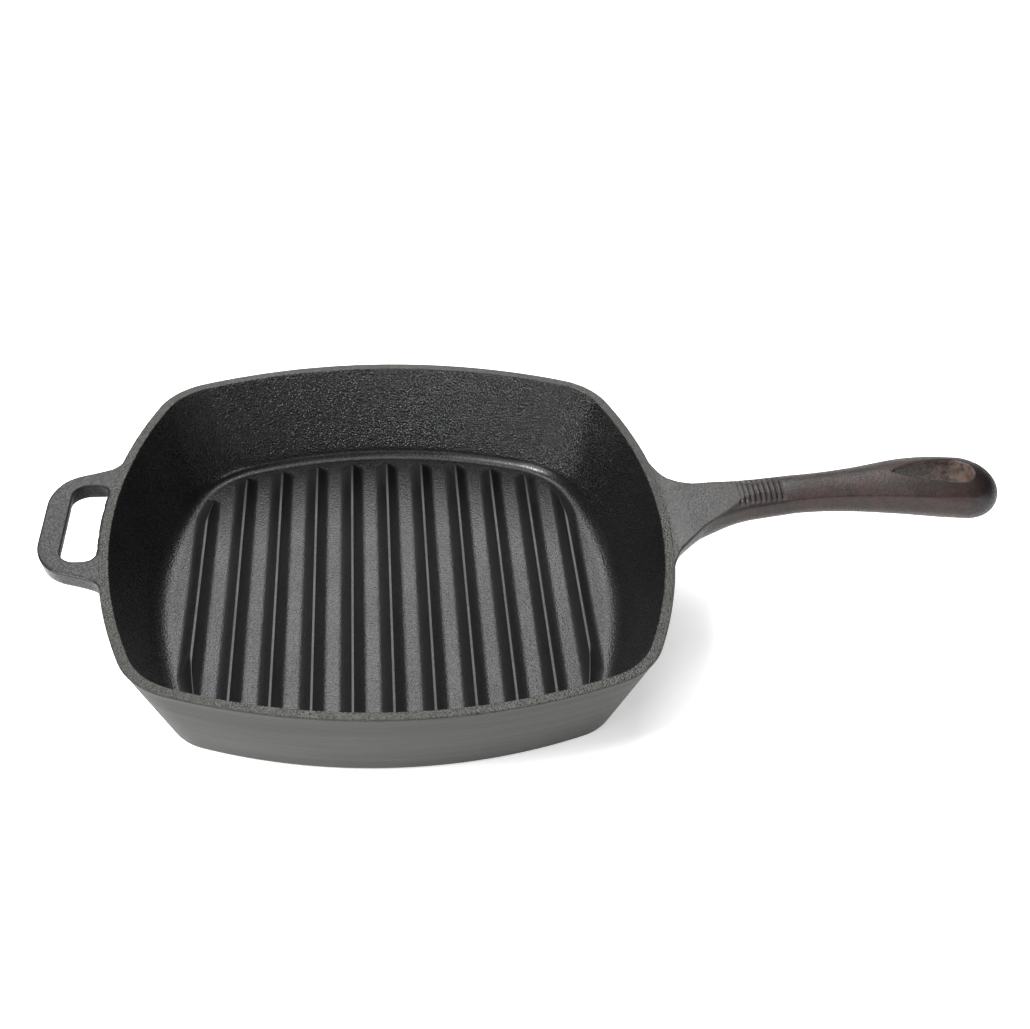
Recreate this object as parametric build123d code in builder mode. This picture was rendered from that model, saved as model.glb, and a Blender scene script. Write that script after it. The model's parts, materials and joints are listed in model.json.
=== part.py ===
from build123d import *
import os
from math import asin, cos, sin, sqrt

os.makedirs("parts", exist_ok=True)

# Sizes of the cast pan, in millimetres: +X to the long handle, +Y along the ribs, +Z up.
# The origin is the middle of the flat underside.

pan_height = 50.0            # underside to rim
rim_half_width = 132.0       # middle of one side of the rim to the centre
base_half_width = 112.5      # the same at the underside, so the wall leans out
side_bow_share = 0.179       # how far each side bows out, as a share of the half width
base_bow_share = 0.172       # the same at the underside, a little squarer
rim_corner_radius = 36.0
base_corner_radius = 24.5
floor_corner_radius = 46.0   # the well's corners are rounder at the floor than outside
rim_width = 4.4              # flat top of the wall
floor_thickness = 5.0
floor_wall_radius = 6.0      # sweep from the floor into the wall
base_edge_radius = 3.0
rim_inner_round = 0.8
overrun = 2.0                # cutters run past the faces they cut

# Grill ribs

rib_count = 11
rib_side_margin = 14.7       # middle of an outer rib to the start of the floor sweep
rib_height = 5.2
rib_foot_width = 10.6
rib_crest_width = 1.3
rib_crest_round = 0.5
rib_end_side_margin = 3.0    # foot of the end ramp to the floor sweep, towards the sides
rib_end_margin = 3.1         # the same at the two ends of the ribs
rib_end_run = 6.1            # length of the ramp that cuts the outer ribs
rib_end_corner_radius = 40.0
rib_end_bow_share = 0.15     # bow of the outline that the ends follow
rib_end_inset = 1.6          # round end of a rib to the foot of the ramp

# Long handle

handle_reach = 158.9         # rim to the far end
grip_neck_width = 18.2       # slimmest place of the grip
grip_neck_depth = 15.8
grip_end_width = 34.6        # widest place, round the hanging hole
grip_end_depth = 20.6
grip_round_share = 0.88      # corner radius of a grip section, as a share of half its depth
handle_rise = 12.1           # middle of the grip's far end above the rim
hole_width = 18.6
hole_length = 40.6
hole_end_margin = 15.2       # hanging hole to the handle's far end
hole_bulge_share = 0.43      # half width of the teardrop's middle, as a share of its width
root_half_width = 36.0       # flared root where it leaves the rim
root_depth = 14.0            # root's middle below its flat top, at the wall
root_edge = 2.0              # upright edge of the root's top
groove_count = 9
groove_pitch = 2.5
groove_width = 1.1
groove_depth = 0.45
groove_start = 32.5          # rim to the first groove
groove_low_share = 0.3       # lower ends of the grooves above the rim, as a share of the rise
groove_core_share = 0.97     # width left between a groove's two ends, as a share of the neck's
hole_cut = 40.0              # reach of the hanging hole's cutter, each way from the rim's height

# Helper handle

helper_reach = 27.0          # rim to the outside of the loop
helper_thickness = 9.2
helper_draft = 11.0          # lean of the loop's sides, in degrees
helper_bar = 11.0            # width of the loop's outer bar
helper_arm_half_width = 27.8 # outer corner of the loop, before it is rounded
helper_corner_radius = 18.5
helper_neck_half_width = 38.0
helper_neck_reach = 9.0      # rim to where an arm starts to flare
helper_root_half_width = 48.5
helper_slot_half_length = 27.8
helper_slot_corner_radius = 6.8
helper_slot_relief = 1.2     # slot's inner side, outside the rim
helper_edge_round = 2.0      # lower outside edge of the loop
helper_overlap = 9.0         # arms and slot run this far into the pan block, then are cut


def blend(low, high, share):
    return low + (high - low) * share


def bowed_square(half_x, half_y, corner_radius, bow_share=side_bow_share):
    """Closed outline with four bowed sides and rounded corners, flat on XY."""
    bow = bow_share * (half_x + half_y) / 2
    corner = (half_x - bow, half_y - bow)
    with BuildSketch(Plane.XY, mode=Mode.PRIVATE) as outline:
        with BuildLine():
            ThreePointArc((corner[0], -corner[1]), (half_x, 0), corner)
            ThreePointArc(corner, (0, half_y), (-corner[0], corner[1]))
            ThreePointArc((-corner[0], corner[1]), (-half_x, 0), (-corner[0], -corner[1]))
            ThreePointArc((-corner[0], -corner[1]), (0, -half_y), (corner[0], -corner[1]))
        make_face()
        fillet(outline.vertices(), corner_radius)
    return outline.sketch


def outer_half_at(z):
    return blend(base_half_width, rim_half_width, z / pan_height)


# The inside face runs parallel to the outside one, a wall's width in.

cavity_floor_half = outer_half_at(floor_thickness) - rim_width
cavity_top = pan_height + overrun
cavity_top_half = outer_half_at(cavity_top) - rim_width
cavity_top_corner = rim_corner_radius - rim_width

# Pan block: the outside form, still solid

with BuildPart() as pan_block:
    with BuildSketch(Plane.XY):
        add(bowed_square(base_half_width, base_half_width, base_corner_radius, base_bow_share))
    with BuildSketch(Plane.XY.offset(pan_height)):
        add(bowed_square(rim_half_width, rim_half_width, rim_corner_radius))
    loft(ruled=True)
    fillet(faces().sort_by(Axis.Z)[0].edges(), base_edge_radius)

# Pan body: the block with its cooking well

with BuildPart() as pan_body:
    add(pan_block.part)
    with BuildSketch(Plane.XY.offset(floor_thickness)):
        add(bowed_square(cavity_floor_half, cavity_floor_half, floor_corner_radius))
    with BuildSketch(Plane.XY.offset(cavity_top)):
        add(bowed_square(cavity_top_half, cavity_top_half, cavity_top_corner))
    loft(ruled=True, mode=Mode.SUBTRACT)
    floor_face = faces().filter_by(Plane.XY).sort_by(Axis.Z)[1]
    fillet(floor_face.edges(), floor_wall_radius)
    rim_face = faces().filter_by(Plane.XY).sort_by(Axis.Z)[-1]
    fillet(rim_face.inner_wires()[0].edges(), rim_inner_round)

pan_body.part.label = "pan_body"
export_step(pan_body.part, "parts/pan_body.step")

# Space above the rim, which no handle enters

with BuildPart() as above_rim:
    with BuildSketch(Plane.XY.offset(pan_height)):
        add(bowed_square(rim_half_width, rim_half_width, rim_corner_radius))
    extrude(amount=root_depth)

# Grill ribs: one tent-shaped bar each, with a round end. The ends follow the floor's outline,
# and a ramp along that outline cuts the outer ribs at the corners.
# The floor is flat inside the foot of the sweep, half the wall's lean past a quarter round.

lean = asin((rim_half_width - base_half_width) / sqrt(
    (rim_half_width - base_half_width) ** 2 + pan_height ** 2))
sweep_run = floor_wall_radius * (1 - sin(lean)) / cos(lean)
flat_floor_half = cavity_floor_half - sweep_run
rib_foot_half_x = flat_floor_half - rib_end_side_margin
rib_foot_half_y = flat_floor_half - rib_end_margin
rib_crest_half_x = rib_foot_half_x - rib_end_run
rib_crest_half_y = rib_foot_half_y - rib_end_run
rib_pitch = (flat_floor_half - rib_side_margin) * 2 / (rib_count - 1)
rib_end_bow = rib_end_bow_share * (rib_foot_half_x + rib_foot_half_y) / 2
rib_end_arc_radius = ((rib_foot_half_x - rib_end_bow) ** 2 + rib_end_bow ** 2) / (2 * rib_end_bow)

with BuildPart() as rib_round_end:
    with BuildSketch(Plane.XZ) as half_profile:
        with BuildLine():
            Polyline(
                (0, floor_thickness),
                (rib_foot_width / 2, floor_thickness),
                (rib_crest_width / 2, floor_thickness + rib_height),
                (0, floor_thickness + rib_height),
                close=True,
            )
        make_face()
        crest_edge = half_profile.vertices().group_by(Axis.Y)[-1].sort_by(Axis.X)[-1]
        fillet(crest_edge, rib_crest_round)
    revolve(axis=Axis.Z, revolution_arc=180)

for rib_number in range(rib_count):
    rib_x = (rib_number - (rib_count - 1) / 2) * rib_pitch
    rib_end_drop = rib_end_arc_radius - sqrt(rib_end_arc_radius ** 2 - rib_x ** 2)
    rib_straight_half = rib_foot_half_y - rib_end_drop - rib_end_inset - rib_foot_width / 2
    name = f"grill_rib_{rib_number + 1:02d}"
    with BuildPart() as grill_rib:
        with BuildSketch(Plane.XZ) as rib_profile:
            with BuildLine():
                Polyline(
                    (rib_x - rib_foot_width / 2, floor_thickness),
                    (rib_x + rib_foot_width / 2, floor_thickness),
                    (rib_x + rib_crest_width / 2, floor_thickness + rib_height),
                    (rib_x - rib_crest_width / 2, floor_thickness + rib_height),
                    close=True,
                )
            make_face()
            fillet(rib_profile.vertices().group_by(Axis.Y)[-1], rib_crest_round)
        extrude(amount=rib_straight_half, both=True)
        with Locations((rib_x, rib_straight_half, 0)):
            add(rib_round_end.part)
        with Locations((rib_x, -rib_straight_half, 0)):
            add(rib_round_end.part, rotation=(0, 0, 180))
        with BuildSketch(Plane.XY.offset(floor_thickness)):
            add(bowed_square(rib_foot_half_x, rib_foot_half_y, rib_end_corner_radius,
                             rib_end_bow_share))
        with BuildSketch(Plane.XY.offset(floor_thickness + rib_height)):
            add(bowed_square(rib_crest_half_x, rib_crest_half_y, rib_end_corner_radius,
                             rib_end_bow_share))
        loft(ruled=True, mode=Mode.INTERSECT)
    grill_rib.part.label = name
    export_step(grill_rib.part, f"parts/{name}.step")

# Long handle: a flared root, flat on top, that runs into a round grip with a fat end

rim_x = rim_half_width


def grip_section(reach_share, middle_rise_share, width, depth):
    """Rounded section of the grip across X, at a share of the reach and of the rise."""
    place = Plane(
        origin=(rim_x + handle_reach * reach_share, 0, pan_height + handle_rise * middle_rise_share),
        x_dir=(0, 1, 0),
        z_dir=(1, 0, 0),
    )
    with BuildSketch(place, mode=Mode.PRIVATE) as section:
        RectangleRounded(width, depth, depth / 2 * grip_round_share)
    return section.sketch


# Stations along the grip: share of the reach, middle above the rim as a share of the rise,
# then the width and the depth, each blended from the neck's to the end's by a share.

grip_shares = [
    (-0.04, -0.75, 0.10, -0.25),
    (0.11, -0.17, 0.02, -0.40),
    (0.27, 0.56, 0.04, 0.10),
    (0.395, 0.76, 0.00, 0.00),
    (0.545, 0.91, 0.20, 0.12),
    (0.665, 0.985, 0.62, 0.50),
    (0.80, 1.0, 1.00, 1.00),
    (0.885, 0.935, 0.98, 0.98),
    (0.945, 0.84, 0.68, 0.60),
    (0.985, 0.78, 0.00, -0.50),
    (1.00, 0.75, -0.55, -1.80),
]

# Stations of the flared root: share of the reach, half width as a share of the root's,
# top above the rim as a share of the rise, depth and upright edge as shares of the root's.

root_shares = [
    (-0.055, 1.30, 0.00, 1.00, 1.0),
    (-0.012, 0.99, 0.00, 1.00, 1.0),
    (0.040, 0.655, 0.09, 1.06, 1.4),
    (0.100, 0.455, 0.42, 1.12, 2.3),
    (0.155, 0.325, 0.72, 1.12, 3.4),
    (0.215, 0.225, 0.97, 1.00, 3.8),
    (0.275, 0.175, 1.14, 0.90, 3.6),
]

with BuildPart() as handle_blank:
    for reach_share, rise_share, width_share, depth_share in grip_shares:
        add(grip_section(
            reach_share,
            rise_share,
            blend(grip_neck_width, grip_end_width, width_share),
            blend(grip_neck_depth, grip_end_depth, depth_share),
        ))
    loft()
    for reach_share, half_share, top_share, depth_share, edge_share in root_shares:
        half = root_half_width * half_share
        edge = root_edge * edge_share
        with BuildSketch(Plane(
            origin=(rim_x + handle_reach * reach_share, 0, pan_height + handle_rise * top_share),
            x_dir=(0, 1, 0),
            z_dir=(1, 0, 0),
        )):
            with BuildLine():
                Line((-half, 0), (half, 0))
                Line((half, 0), (half, -edge))
                ThreePointArc((half, -edge), (0, -root_depth * depth_share), (-half, -edge))
                Line((-half, -edge), (-half, 0))
            make_face()
    loft()
    add(pan_block.part, mode=Mode.SUBTRACT)
    add(above_rim.part, mode=Mode.SUBTRACT)
    # Hanging hole, a teardrop with its point towards the pan
    hole_end = rim_x + handle_reach - hole_end_margin
    hole_middle = hole_end - hole_width / 2
    hole_tip = hole_end - hole_length
    hole_bulge_x = (hole_tip + hole_middle) / 2
    with BuildSketch(Plane.XY.offset(pan_height)) as hole:
        with Locations((hole_middle, 0)):
            Circle(hole_width / 2)
        with BuildLine():
            ThreePointArc(
                (hole_middle, -hole_width / 2),
                (hole_bulge_x, -hole_width * hole_bulge_share),
                (hole_tip, 0),
            )
            ThreePointArc(
                (hole_tip, 0),
                (hole_bulge_x, hole_width * hole_bulge_share),
                (hole_middle, hole_width / 2),
            )
            Line((hole_middle, hole_width / 2), (hole_middle, -hole_width / 2))
        make_face()
    extrude(amount=hole_cut, both=True, mode=Mode.SUBTRACT)


# Grip grooves: a thin slab over the neck for each, hollowed by the neck's own section,
# lowered by a groove's depth and a little narrower, so a groove dies out down the sides

groove_rings = []
for groove_number in range(groove_count):
    groove_plane = Plane(
        origin=(rim_x + groove_start + groove_number * groove_pitch, 0, pan_height),
        x_dir=(0, 1, 0),
        z_dir=(1, 0, 0),
    )
    neck_section = section(handle_blank.part, section_by=groove_plane, mode=Mode.PRIVATE)
    neck_core = scale(neck_section, by=(1, groove_core_share, 1), mode=Mode.PRIVATE)
    with BuildPart() as groove_ring:
        with BuildSketch(groove_plane):
            with Locations((0, handle_rise * groove_low_share)):
                Rectangle(grip_end_width, grip_neck_depth, align=(Align.CENTER, Align.MIN))
        extrude(amount=groove_width / 2, both=True)
        extrude(
            neck_core.moved(Location((0, 0, -groove_depth))),
            groove_width,
            both=True,
            mode=Mode.SUBTRACT,
        )
    groove_rings.append(groove_ring.part)

with BuildPart() as main_handle:
    add(handle_blank.part)
    add(groove_rings, mode=Mode.SUBTRACT)

main_handle.part.label = "main_handle"
export_step(main_handle.part, "parts/main_handle.step")

# Helper handle: a flat loop flush with the rim

loop_x = -(rim_half_width + helper_reach)
slot_outer_x = loop_x + helper_bar
slot_inner_x = -(rim_half_width + helper_slot_relief)
slot_width = slot_inner_x - slot_outer_x
inside_x = -(rim_half_width - helper_overlap)
with BuildPart() as helper_handle:
    with BuildSketch(Plane.XY.offset(pan_height)) as loop_outline:
        with BuildLine():
            Polyline(
                (inside_x, helper_root_half_width),
                (-rim_half_width - helper_neck_reach, helper_neck_half_width),
                (loop_x, helper_arm_half_width),
                (loop_x, -helper_arm_half_width),
                (-rim_half_width - helper_neck_reach, -helper_neck_half_width),
                (inside_x, -helper_root_half_width),
                close=True,
            )
        make_face()
        fillet(loop_outline.vertices().group_by(Axis.X)[0], helper_corner_radius)
    extrude(amount=-helper_thickness, taper=helper_draft)
    fillet(faces().sort_by(Axis.Z)[0].edges(), helper_edge_round)
    with BuildSketch(Plane.XY.offset(pan_height)) as slot:
        with Locations((slot_inner_x - slot_width / 2, 0)):
            RectangleRounded(slot_width, helper_slot_half_length * 2, helper_slot_corner_radius)
        with Locations((slot_inner_x, 0)):
            Rectangle(helper_overlap * 2, (helper_slot_half_length - helper_slot_corner_radius) * 2)
    extrude(amount=-helper_thickness, taper=-helper_draft, mode=Mode.SUBTRACT)
    add(pan_block.part, mode=Mode.SUBTRACT)

helper_handle.part.label = "helper_handle"
export_step(helper_handle.part, "parts/helper_handle.step")
for piece in (pan_body, main_handle, helper_handle):
    print(piece.part.label, piece.part.bounding_box(), len(piece.part.solids()), piece.part.volume)
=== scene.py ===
# %% [markdown]
# A square cast-iron grill pan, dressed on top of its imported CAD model. Every piece is made in
# metres in the CAD's own frame: +X to the long handle, +Y along the ribs, +Z up, with the origin
# in the middle of the flat underside. Sizes are typed in millimetres, as on a drawing, and MM
# turns them into metres where a mesh or a finish is made.

import json
import math

import bpy
import numpy as np
from mathutils import Euler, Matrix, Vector

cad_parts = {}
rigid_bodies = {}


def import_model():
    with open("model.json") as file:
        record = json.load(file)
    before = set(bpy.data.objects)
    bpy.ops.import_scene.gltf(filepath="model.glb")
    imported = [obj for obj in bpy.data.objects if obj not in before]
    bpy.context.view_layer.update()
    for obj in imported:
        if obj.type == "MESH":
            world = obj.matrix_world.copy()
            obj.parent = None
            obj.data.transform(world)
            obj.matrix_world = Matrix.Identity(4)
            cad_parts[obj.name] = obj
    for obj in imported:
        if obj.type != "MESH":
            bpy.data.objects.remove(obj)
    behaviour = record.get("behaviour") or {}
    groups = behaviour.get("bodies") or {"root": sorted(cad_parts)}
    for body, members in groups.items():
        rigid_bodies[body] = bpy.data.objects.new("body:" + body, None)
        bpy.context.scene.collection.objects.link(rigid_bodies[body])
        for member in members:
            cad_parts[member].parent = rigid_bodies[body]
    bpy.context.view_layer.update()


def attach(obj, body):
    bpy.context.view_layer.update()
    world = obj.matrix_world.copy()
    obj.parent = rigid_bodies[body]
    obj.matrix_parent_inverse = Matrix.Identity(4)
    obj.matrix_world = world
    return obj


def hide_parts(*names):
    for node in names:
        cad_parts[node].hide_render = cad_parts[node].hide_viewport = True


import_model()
MM = 0.001

# %% [markdown]
# The photograph was taken with a moderate lens from in front and above, about 38 degrees down.
# A camera can be placed by eye, but a fit is surer: this place and these three angles lay the
# pan's own outline on the one in the photograph.

# %% Camera
camera_place = (-8.404, -567.210, 497.205)
camera_tilt, camera_roll, camera_turn = 51.885, -2.432, -4.861
lens_length, sensor_width = 53.762, 36
near_clip = 20.0

lens = bpy.data.cameras.new("camera")
lens.sensor_fit = "HORIZONTAL"
lens.sensor_width = sensor_width
lens.lens = lens_length
lens.clip_start = near_clip * MM
camera = bpy.data.objects.new("camera", lens)
camera.location = [value * MM for value in camera_place]
camera.rotation_euler = Euler([math.radians(a) for a in (camera_tilt, camera_roll, camera_turn)])
bpy.context.scene.collection.objects.link(camera)
bpy.context.scene.camera = camera
print("camera at", tuple(camera.location))

# %% [markdown]
# Black iron is lit mostly by what it mirrors, so the studio decides its look. The room is dim,
# which keeps the side walls and the ribs' flanks nearly black. The floor between the ribs and the
# rim mirror a tall panel behind the pan. A small strong light at the front left draws the soft
# shadow on the right, and weak panels at the sides and in front lift the corners, the outer wall
# and the grip.

# %% Studio: room and lights
room_strength = 0.05

world = bpy.data.worlds.new("studio")
world.use_nodes = True
room = world.node_tree.nodes["Background"]
room.inputs["Color"].default_value = (1, 1, 1, 1)
room.inputs["Strength"].default_value = room_strength
bpy.context.scene.world = world
bpy.context.scene.view_settings.view_transform = "Standard"


def panel(name, place, target, width, height, radiance):
    """A soft light at a place, facing a target, in metres; it looks as bright as its radiance."""
    light = bpy.data.lights.new(name, "AREA")
    light.shape = "RECTANGLE"
    light.size, light.size_y = width, height
    light.energy = radiance * width * height * math.pi
    holder = bpy.data.objects.new(name, light)
    holder.location = place
    aim = Vector(target) - Vector(place)
    holder.rotation_euler = aim.to_track_quat("-Z", "Y").to_euler()
    bpy.context.scene.collection.objects.link(holder)


# Each panel's name, place, target, width, height and radiance
panel("back_panel", (-0.02, 1.15, 1.4), (-0.02, 0, 0), 1.4, 1.5, 4.9)
panel("key_light", (-0.9, -0.55, 1.5), (0, 0, 0), 0.6, 0.6, 40.0)
panel("sky_panel", (0.1, 0.1, 2.0), (0.1, 0, 0), 1.0, 0.5, 3.0)
panel("left_panel", (-1.6, -1.2, 0.85), (0, 0, 0), 1.5, 1.5, 3.8)
panel("right_panel", (1.7, -1.2, 0.5), (0, 0, 0), 1.5, 0.9, 3.4)
panel("front_panel", (0, -2.5, 0.6), (0, 0, 0), 2.0, 0.9, 2.0)
print("lights:", [light.name for light in bpy.data.lights])

# %% [markdown]
# The floor is a plain sheet of white paper. In the photograph it is lit until it is pure white
# and only the pan's shadow shows on it. More lamps would do that too, but they would brighten the
# pan, so the paper glows a little of its own.

# %% Studio: floor
floor_glow = 0.44
floor_white = (0.94, 0.94, 0.94, 1)
floor_roughness = 0.9
floor_half = 4.0

floor_mesh = bpy.data.meshes.new("studio_floor")
corners = [(-floor_half, -floor_half, 0), (floor_half, -floor_half, 0)]
corners += [(floor_half, floor_half, 0), (-floor_half, floor_half, 0)]
floor_mesh.from_pydata(corners, [], [(0, 1, 2, 3)])
floor = bpy.data.objects.new("studio_floor", floor_mesh)
bpy.context.scene.collection.objects.link(floor)
paper = bpy.data.materials.new("white_paper")
paper.use_nodes = True
for label, value in (("Base Color", floor_white), ("Roughness", floor_roughness),
                     ("Emission Color", floor_white), ("Emission Strength", floor_glow)):
    paper.node_tree.nodes["Principled BSDF"].inputs[label].default_value = value
floor_mesh.materials.append(paper)
print("floor:", 2 * floor_half, "m square")

# %% [markdown]
# Finishes and the ribs are both made by trees of small nodes joined by wires. Such a tree can be
# drawn by hand in the editor. Here a few helpers add one node each, so that a tree reads like the
# sum that it is.

# %% Helpers for node trees


def wire(tree, value, socket):
    """A number is typed into the socket, and another socket is wired to it."""
    if isinstance(value, (int, float)):
        socket.default_value = value
    else:
        tree.links.new(value, socket)


def sum_node(tree, kind, *values):
    """A Math node; each of its values is a socket or a number."""
    node = tree.nodes.new("ShaderNodeMath")
    node.operation = kind
    for value, socket in zip(values, node.inputs):
        wire(tree, value, socket)
    return node.outputs[0]


def map_range(tree, value, low, high, to_low=0.0, to_high=1.0, kind="SMOOTHSTEP"):
    node = tree.nodes.new("ShaderNodeMapRange")
    node.interpolation_type = kind
    wire(tree, value, node.inputs["Value"])
    settings = (("From Min", low), ("From Max", high), ("To Min", to_low), ("To Max", to_high))
    for label, number in settings:
        node.inputs[label].default_value = number
    return node.outputs["Result"]


def noise_node(tree, place, scale, detail, roughness=0.5):
    node = tree.nodes.new("ShaderNodeTexNoise")
    node.inputs["Scale"].default_value = scale
    node.inputs["Detail"].default_value = detail
    node.inputs["Roughness"].default_value = roughness
    wire(tree, place, node.inputs["Vector"])
    return node.outputs["Fac"]


def cell_distance(tree, place, scale):
    """Distance to the middle of the nearest of many scattered cells."""
    node = tree.nodes.new("ShaderNodeTexVoronoi")
    node.inputs["Scale"].default_value = scale
    wire(tree, place, node.inputs["Vector"])
    return node.outputs["Distance"]


def make_group(name, inputs, outputs):
    """An empty shader node group with float sockets and one vector input called Place."""
    group = bpy.data.node_groups.new(name, "ShaderNodeTree")
    group.interface.new_socket("Place", in_out="INPUT", socket_type="NodeSocketVector")
    for label, value in inputs:
        socket = group.interface.new_socket(label, in_out="INPUT", socket_type="NodeSocketFloat")
        socket.default_value = value
    for label in outputs:
        group.interface.new_socket(label, in_out="OUTPUT", socket_type="NodeSocketFloat")
    return group, group.nodes.new("NodeGroupInput"), group.nodes.new("NodeGroupOutput")


def in_units(group, group_in, label):
    """The group's Place, scaled until one unit is as long as the input called label, in mm."""
    node = group.nodes.new("ShaderNodeVectorMath")
    node.operation = "SCALE"
    wire(group, group_in.outputs["Place"], node.inputs[0])
    wire(group, sum_node(group, "DIVIDE", 1 / MM, group_in.outputs[label]), node.inputs["Scale"])
    return node.outputs[0]


print("one millimetre is", MM, "of Blender's units")

# %% [markdown]
# All of the pan is one sand casting, so all of it carries the same pebbled skin: a print of the
# sand grains of the mould under a baked coat of oil. A picture of sand could give it, but a node
# group needs no picture and has no seams. It puts out a height for Bump nodes and a mask of the
# high spots, and each finish asks for it at its own grain.

# %% Node group: cast skin
high_spots_from, high_spots_to = 0.42, 0.62

cast_skin, skin_in, skin_out = make_group(
    "cast_skin", [("Grain mm", 1.3), ("Pebble share", 0.6)], ["Height", "High spots"])
grains = in_units(cast_skin, skin_in, "Grain mm")
pebble_share = skin_in.outputs["Pebble share"]
pebble_height = sum_node(cast_skin, "SUBTRACT", 1.0, cell_distance(cast_skin, grains, scale=1.0))
pebble_part = sum_node(cast_skin, "MULTIPLY", pebble_height, pebble_share)
fine = noise_node(cast_skin, grains, scale=0.9, detail=1.0, roughness=0.6)
fine_share = sum_node(cast_skin, "SUBTRACT", 1.0, pebble_share)
skin_height = sum_node(cast_skin, "MULTIPLY_ADD", fine, fine_share, pebble_part)
high_spots = map_range(cast_skin, skin_height, high_spots_from, high_spots_to, kind="LINEAR")
wire(cast_skin, skin_height, skin_out.inputs["Height"])
wire(cast_skin, high_spots, skin_out.inputs["High spots"])
print("cast skin:", len(cast_skin.nodes), "nodes")

# %% [markdown]
# Two more groups are shared. Slow drift is the change of tone from patch to patch that every
# seasoned pan has. Pits are the small dark holes that sand grains left in the casting's edges;
# they come in clumps, so a slow noise decides how far each one may reach.

# %% Node groups: slow drift and casting pits
pit_cells_in_unit = 5.0
clump_scale, clump_gain, clump_base = 0.22, 1.6, -0.62
pit_edge = 0.12

tone_drift, drift_in, drift_out = make_group("tone_drift", [("Patch mm", 30.0)], ["Drift"])
patch_place = in_units(tone_drift, drift_in, "Patch mm")
drift = noise_node(tone_drift, patch_place, scale=1.0, detail=4.0, roughness=0.55)
wire(tone_drift, drift, drift_out.inputs["Drift"])

casting_pits, pits_in, pits_out = make_group("casting_pits", [("Spacing mm", 2.5)], ["Pits"])
pit_place = in_units(casting_pits, pits_in, "Spacing mm")
clumps = noise_node(casting_pits, pit_place, clump_scale, detail=2.0)
pit_reach = sum_node(casting_pits, "MULTIPLY_ADD", clumps, clump_gain, clump_base)
pit_depth = sum_node(casting_pits, "SUBTRACT", pit_reach,
                     cell_distance(casting_pits, pit_place, pit_cells_in_unit))
pit_mask = map_range(casting_pits, pit_depth, 0.0, pit_edge, kind="LINEAR")
wire(casting_pits, pit_mask, pits_out.inputs["Pits"])
print("node groups:", [g.name for g in bpy.data.node_groups])

# %% [markdown]
# Every level of the pan's body is the same figure: a square with bowed sides and round corners.
# A bevelled square would be quicker, but its straight sides would miss the pan's outline. Here
# one side is an arc whose centre lies far behind the middle, and a corner is a small arc that
# touches its two sides from inside, so the corner's centre comes out of one square root.

# %% The bowed square
side_points, corner_points = 72, 32
ring_points = 4 * (side_points + corner_points)


def bowed_outline(half, corner, bow_share, inset=0.0):
    """Points in mm of the figure, drawn in by an inset, as an array of x and y."""
    bow = bow_share * half
    side_radius = ((half - bow) ** 2 + bow ** 2) / (2 * bow)
    behind = side_radius - half
    middle = (-behind + math.sqrt(2 * (side_radius - corner) ** 2 - behind ** 2)) / 2
    turn = math.atan2(middle, middle + behind)
    along = np.linspace(-turn, turn, side_points, endpoint=False)
    round_ = np.linspace(turn, math.pi / 2 - turn, corner_points, endpoint=False)
    x = np.concatenate([(side_radius - inset) * np.cos(along) - behind,
                        (corner - inset) * np.cos(round_) + middle])
    y = np.concatenate([(side_radius - inset) * np.sin(along),
                        (corner - inset) * np.sin(round_) + middle])
    quarters = [(x, y), (-y, x), (-x, -y), (y, -x)]
    return np.concatenate([np.stack(q, axis=1) for q in quarters])


def blend(low, high, share):
    return low + (high - low) * share


print("points in one outline:", ring_points)

# %% [markdown]
# The body's sizes match the CAD model. The outer wall leans out on its way up and the inner wall
# follows it, so both outlines are functions of the height. Only the sweep from wall to floor
# differs from the CAD: it is tight at the back and front and wide at the two sides, as the bright
# line in the photograph shows.

# %% Body sizes
pan_height = 50.0
rim_half, base_half = 132.0, 112.5
rim_corner, base_corner = 36.0, 24.5
rim_bow_share, base_bow_share = 0.179, 0.172
rim_width = 4.6
floor_height = 5.0
end_sweep, side_sweep = 4.6, 10.0
base_edge_radius = 3.0
rim_outer_round, rim_inner_round = 0.45, 0.4
floor_corner, well_top_corner = 46.0, 31.6
well_top = 52.0
rib_field_inset = 3.9
lean = math.atan((rim_half - base_half) / pan_height)


def outer_half(z):
    return blend(base_half, rim_half, z / pan_height)


def inner_half(z):
    return outer_half(z) - rim_width


def outer_ring(reach, z):
    """Outline of the outer wall at a height, drawn in to a half width of reach."""
    share = z / pan_height
    return bowed_outline(outer_half(z), blend(base_corner, rim_corner, share),
                         blend(base_bow_share, rim_bow_share, share), outer_half(z) - reach)


def inner_ring(reach, z):
    share = (z - floor_height) / (well_top - floor_height)
    return bowed_outline(inner_half(z), blend(floor_corner, well_top_corner, share),
                         rim_bow_share, inner_half(z) - reach)


rib_field_half = inner_half(floor_height) - rib_field_inset
print("wall leans", round(math.degrees(lean), 1), "degrees; rib field",
      round(rib_field_half, 2), "mm")

# %% [markdown]
# The body is one closed skin: underside, outer wall, rim, inner wall, the sweep into the floor and
# the floor. A lathe can't make it, because it isn't round, so it is a stack of outlines, each at
# its own height. The rim's two edges and the underside's edge are small arcs of outlines, so they
# catch light as a cast edge does. Each level also says how far it is outside, rim, lip (the rim's
# outer edge) and sweep, and the finish reads these four.

# %% Body levels from underside to rim
lip_lean_share = 1.04
under_shares = (0.1, 0.4, 0.7, 0.92, 1.0)
# Each row's share of the way in over the rim, and how much of it is lip
rim_rows = ((0.1, 0.4), (0.3, 0.3), (0.9, 0.0))
wall_margin, wall_steps, below_lip = 4.0, 14, 1.8
base_arc_steps, lip_arc_steps, edge_arc_steps = 7, 7, 6


def arc(middle, radius, start, end, steps):
    """Points (half width, height) of an arc between two angles in degrees."""
    angles = np.radians(np.linspace(start, end, steps))
    return [(middle[0] + radius * math.cos(a), middle[1] + radius * math.sin(a)) for a in angles]


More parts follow.
